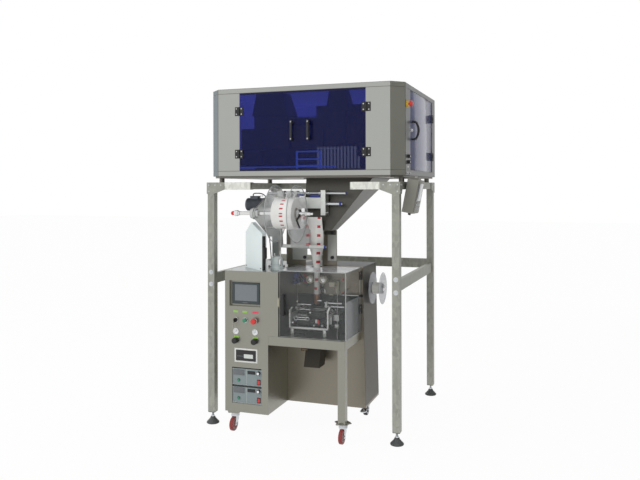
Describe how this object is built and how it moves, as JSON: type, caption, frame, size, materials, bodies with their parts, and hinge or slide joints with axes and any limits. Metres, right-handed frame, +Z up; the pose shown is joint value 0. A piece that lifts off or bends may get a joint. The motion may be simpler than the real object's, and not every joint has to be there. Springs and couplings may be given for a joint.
{
  "type": "vertical form fill sealer",
  "caption": "Stick-pack form, fill and seal machine with an operator column and film reel, standing in a leg frame that carries a glazed weigher hood.",
  "frame": {"origin": "middle of the machine's bounding box on the floor plane, at the undersides of the feet and castors", "axes": "+X to the operator's right, +Y from the operator's side to the back, +Z up"},
  "size_m": [1.4822, 1.504, 2.333],
  "materials": {
    "frame_steel": "hot-dip galvanised, softly mottled",
    "brushed_stainless": "brushed stainless sheet",
    "dark_stainless": "dull stainless sheet",
    "machined_aluminium": "machined, satin",
    "chromed_steel": "polished",
    "black_plastic": "fine grain",
    "black_rubber": "matt",
    "blue_acrylic": "see-through blue sheet",
    "clear_acrylic": "clear sheet",
    "red_plastic": "moulded",
    "green_plastic": "moulded",
    "grey_enamel": "baked enamel",
    "white_enamel": "baked enamel",
    "white_plastic": "moulded",
    "castor_red": "polyurethane",
    "zinc_plate": "bright zinc plate",
    "film": "laminated packing film"
  },
  "bodies": {
    "machine": {"coder_drum": "machined_aluminium", "control_column": "brushed_stainless", "discharge_funnel": "dark_stainless", "drive_cover": "white_enamel", "film_web": "film", "forming_tube": "brushed_stainless", "generator_lower": "grey_enamel", "generator_upper": "grey_enamel", "hood_floor": "dark_stainless", "hood_shell": "brushed_stainless", "jaw_frame": "machined_aluminium", "levelling_foot_front_left": "black_rubber", "levelling_foot_front_right": "black_rubber", "levelling_foot_rear_left": "black_rubber", "levelling_foot_rear_right": "black_rubber", "operator_screen": "black_plastic", "rear_cabinet": "brushed_stainless", "rear_frame": "frame_steel", "side_frame_left": "frame_steel", "side_frame_right": "frame_steel", "terminal_box": "grey_enamel", "unwind_motor": "black_plastic", "unwind_stand": "machined_aluminium", "weigher_body": "dark_stainless", "work_table": "brushed_stainless"},
    "front_door_left": {"front_door_left": "blue_acrylic", "door_handle_left": "black_plastic"},
    "front_door_right": {"front_door_right": "blue_acrylic", "door_handle_right": "black_plastic"},
    "film_reel": {"reel_spindle": "clear_acrylic", "film_roll": "film"},
    "side_door": {"side_door": "blue_acrylic"},
    "hood_emergency_stop": {"hood_emergency_stop": "red_plastic"},
    "hopper_gate_left": {"hopper_gate_left": "machined_aluminium"},
    "hopper_gate_right": {"hopper_gate_right": "machined_aluminium"},
    "key_switch": {"key_switch": "chromed_steel"},
    "start_button": {"start_button": "green_plastic"},
    "emergency_stop": {"emergency_stop": "red_plastic"},
    "regulator_knob_left": {"regulator_knob_left": "black_plastic"},
    "regulator_knob_right": {"regulator_knob_right": "black_plastic"},
    "generator_knob_lower": {"generator_knob_lower": "black_plastic"},
    "generator_knob_upper": {"generator_knob_upper": "black_plastic"},
    "power_rocker_lower": {"power_rocker_lower": "red_plastic"},
    "power_rocker_upper": {"power_rocker_upper": "red_plastic"},
    "dancer_arm": {"dancer_arm": "machined_aluminium"},
    "dancer_roller": {"dancer_roller": "chromed_steel"},
    "jaw_front": {"jaw_front": "chromed_steel"},
    "jaw_rear": {"jaw_rear": "chromed_steel"},
    "pull_roller_left": {"pull_roller_left": "black_rubber"},
    "pull_roller_right": {"pull_roller_right": "black_rubber"},
    "seal_guard": {"seal_guard": "clear_acrylic"},
    "thread_reel": {"thread_reel": "white_plastic"},
    "castor_fork_front_left": {"castor_fork_front_left": "zinc_plate"},
    "castor_fork_front_right": {"castor_fork_front_right": "zinc_plate"},
    "castor_fork_rear_left": {"castor_fork_rear_left": "zinc_plate"},
    "castor_fork_rear_right": {"castor_fork_rear_right": "zinc_plate"},
    "castor_wheel_front_left": {"castor_wheel_front_left": "castor_red"},
    "castor_wheel_front_right": {"castor_wheel_front_right": "castor_red"},
    "castor_wheel_rear_left": {"castor_wheel_rear_left": "castor_red"},
    "castor_wheel_rear_right": {"castor_wheel_rear_right": "castor_red"}
  },
  "joints": [
    {"name": "front_door_left_hinge", "type": "hinge", "parent": "machine", "child": "front_door_left", "pos_m": [-0.49509, -0.453, 0], "axis": [0, 0, -1], "range_deg": [0, 110]},
    {"name": "front_door_right_hinge", "type": "hinge", "parent": "machine", "child": "front_door_right", "pos_m": [0.41891, -0.453, 0], "axis": [0, 0, 1], "range_deg": [0, 110]},
    {"name": "side_door_hinge", "type": "hinge", "parent": "machine", "child": "side_door", "pos_m": [0.66491, 0.584, 0], "axis": [0, 0, 1], "range_deg": [0, 110]},
    {"name": "hood_stop_press", "type": "slide", "parent": "machine", "child": "hood_emergency_stop", "axis": [-1, 0, 0], "range_m": [0, 0.006], "stiffness_N_per_m": 800},
    {"name": "hopper_gate_left_hinge", "type": "hinge", "parent": "machine", "child": "hopper_gate_left", "pos_m": [-0.02609, -0.052, 1.932], "axis": [0, 1, 0], "range_deg": [0, 60]},
    {"name": "hopper_gate_right_hinge", "type": "hinge", "parent": "machine", "child": "hopper_gate_right", "pos_m": [0.34991, -0.052, 1.932], "axis": [0, 1, 0], "range_deg": [-60, 0]},
    {"name": "key_turn", "type": "hinge", "parent": "machine", "child": "key_switch", "pos_m": [-0.46209, -0.572, 0.756], "axis": [0, -1, 0], "range_deg": [-90, 0]},
    {"name": "start_press", "type": "slide", "parent": "machine", "child": "start_button", "axis": [0, 1, 0], "range_m": [0, 0.005], "stiffness_N_per_m": 400},
    {"name": "emergency_stop_press", "type": "slide", "parent": "machine", "child": "emergency_stop", "axis": [0, 1, 0], "range_m": [0, 0.006], "stiffness_N_per_m": 800},
    {"name": "regulator_left_turn", "type": "hinge", "parent": "machine", "child": "regulator_knob_left", "pos_m": [-0.46209, -0.572, 0.618], "axis": [0, -1, 0], "range_deg": [-150, 150]},
    {"name": "regulator_right_turn", "type": "hinge", "parent": "machine", "child": "regulator_knob_right", "pos_m": [-0.32109, -0.572, 0.618], "axis": [0, -1, 0], "range_deg": [-150, 150]},
    {"name": "generator_lower_level_turn", "type": "hinge", "parent": "machine", "child": "generator_knob_lower", "pos_m": [-0.29609, -0.5665, 0.2858], "axis": [0, -1, 0], "range_deg": [-140, 140]},
    {"name": "generator_lower_power_rock", "type": "hinge", "parent": "machine", "child": "power_rocker_lower", "pos_m": [-0.29609, -0.5625, 0.2243], "axis": [1, 0, 0], "range_deg": [-10, 10]},
    {"name": "generator_upper_level_turn", "type": "hinge", "parent": "machine", "child": "generator_knob_upper", "pos_m": [-0.29609, -0.5665, 0.4061], "axis": [0, -1, 0], "range_deg": [-140, 140]},
    {"name": "generator_upper_power_rock", "type": "hinge", "parent": "machine", "child": "power_rocker_upper", "pos_m": [-0.29609, -0.5625, 0.3446], "axis": [1, 0, 0], "range_deg": [-10, 10]},
    {"name": "castor_front_left_swivel", "type": "hinge", "parent": "machine", "child": "castor_fork_front_left", "pos_m": [-0.48809, -0.527, 0.12], "axis": [0, 0, 1], "continuous": true},
    {"name": "castor_front_left_roll", "type": "hinge", "parent": "castor_fork_front_left", "child": "castor_wheel_front_left", "pos_m": [-0.48809, -0.555, 0.0465], "axis": [1, 0, 0], "continuous": true},
    {"name": "castor_front_right_swivel", "type": "hinge", "parent": "machine", "child": "castor_fork_front_right", "pos_m": [0.28391, -0.535, 0.12], "axis": [0, 0, 1], "continuous": true},
    {"name": "castor_front_right_roll", "type": "hinge", "parent": "castor_fork_front_right", "child": "castor_wheel_front_right", "pos_m": [0.28391, -0.563, 0.0465], "axis": [1, 0, 0], "continuous": true},
    {"name": "castor_rear_left_swivel", "type": "hinge", "parent": "machine", "child": "castor_fork_rear_left", "pos_m": [-0.48809, 0.083, 0.12], "axis": [0, 0, 1], "continuous": true},
    {"name": "castor_rear_left_roll", "type": "hinge", "parent": "castor_fork_rear_left", "child": "castor_wheel_rear_left", "pos_m": [-0.48809, 0.055, 0.0465], "axis": [1, 0, 0], "continuous": true},
    {"name": "castor_rear_right_swivel", "type": "hinge", "parent": "machine", "child": "castor_fork_rear_right", "pos_m": [0.27291, 0.083, 0.12], "axis": [0, 0, 1], "continuous": true},
    {"name": "castor_rear_right_roll", "type": "hinge", "parent": "castor_fork_rear_right", "child": "castor_wheel_rear_right", "pos_m": [0.27291, 0.055, 0.0465], "axis": [1, 0, 0], "continuous": true},
    {"name": "film_reel_turn", "type": "hinge", "parent": "machine", "child": "film_reel", "pos_m": [-0.17009, -0.562, 1.475], "axis": [1, 0, 0], "continuous": true},
    {"name": "dancer_arm_swing", "type": "hinge", "parent": "machine", "child": "dancer_arm", "pos_m": [-0.21009, -0.397, 1.372], "axis": [1, 0, 0], "range_deg": [-20, 5]},
    {"name": "dancer_roller_turn", "type": "hinge", "parent": "dancer_arm", "child": "dancer_roller", "pos_m": [-0.20009, -0.372, 1.245], "axis": [1, 0, 0], "continuous": true},
    {"name": "jaw_front_close", "type": "slide", "parent": "machine", "child": "jaw_front", "axis": [0, 1, 0], "range_m": [0, 0.014]},
    {"name": "jaw_rear_close", "type": "slide", "parent": "machine", "child": "jaw_rear", "axis": [0, -1, 0], "range_m": [0, 0.014]},
    {"name": "pull_roller_left_turn", "type": "hinge", "parent": "machine", "child": "pull_roller_left", "pos_m": [-0.03109, -0.282, 1.01], "axis": [0, 1, 0], "continuous": true},
    {"name": "pull_roller_right_turn", "type": "hinge", "parent": "machine", "child": "pull_roller_right", "pos_m": [0.06491, -0.282, 1.01], "axis": [0, 1, 0], "continuous": true},
    {"name": "seal_guard_hinge", "type": "hinge", "parent": "machine", "child": "seal_guard", "pos_m": [0.31941, -0.231, 0], "axis": [0, 0, 1], "range_deg": [0, 45]},
    {"name": "thread_reel_turn", "type": "hinge", "parent": "machine", "child": "thread_reel", "pos_m": [0.33129, -0.046, 0.937], "axis": [1, 0, 0], "continuous": true}
  ],
  "couplings": [
    {"joint": "hopper_gate_right_hinge", "follows": "hopper_gate_left_hinge", "ratio": -1},
    {"joint": "jaw_rear_close", "follows": "jaw_front_close", "ratio": 1},
    {"joint": "pull_roller_right_turn", "follows": "pull_roller_left_turn", "ratio": -1}
  ]
}
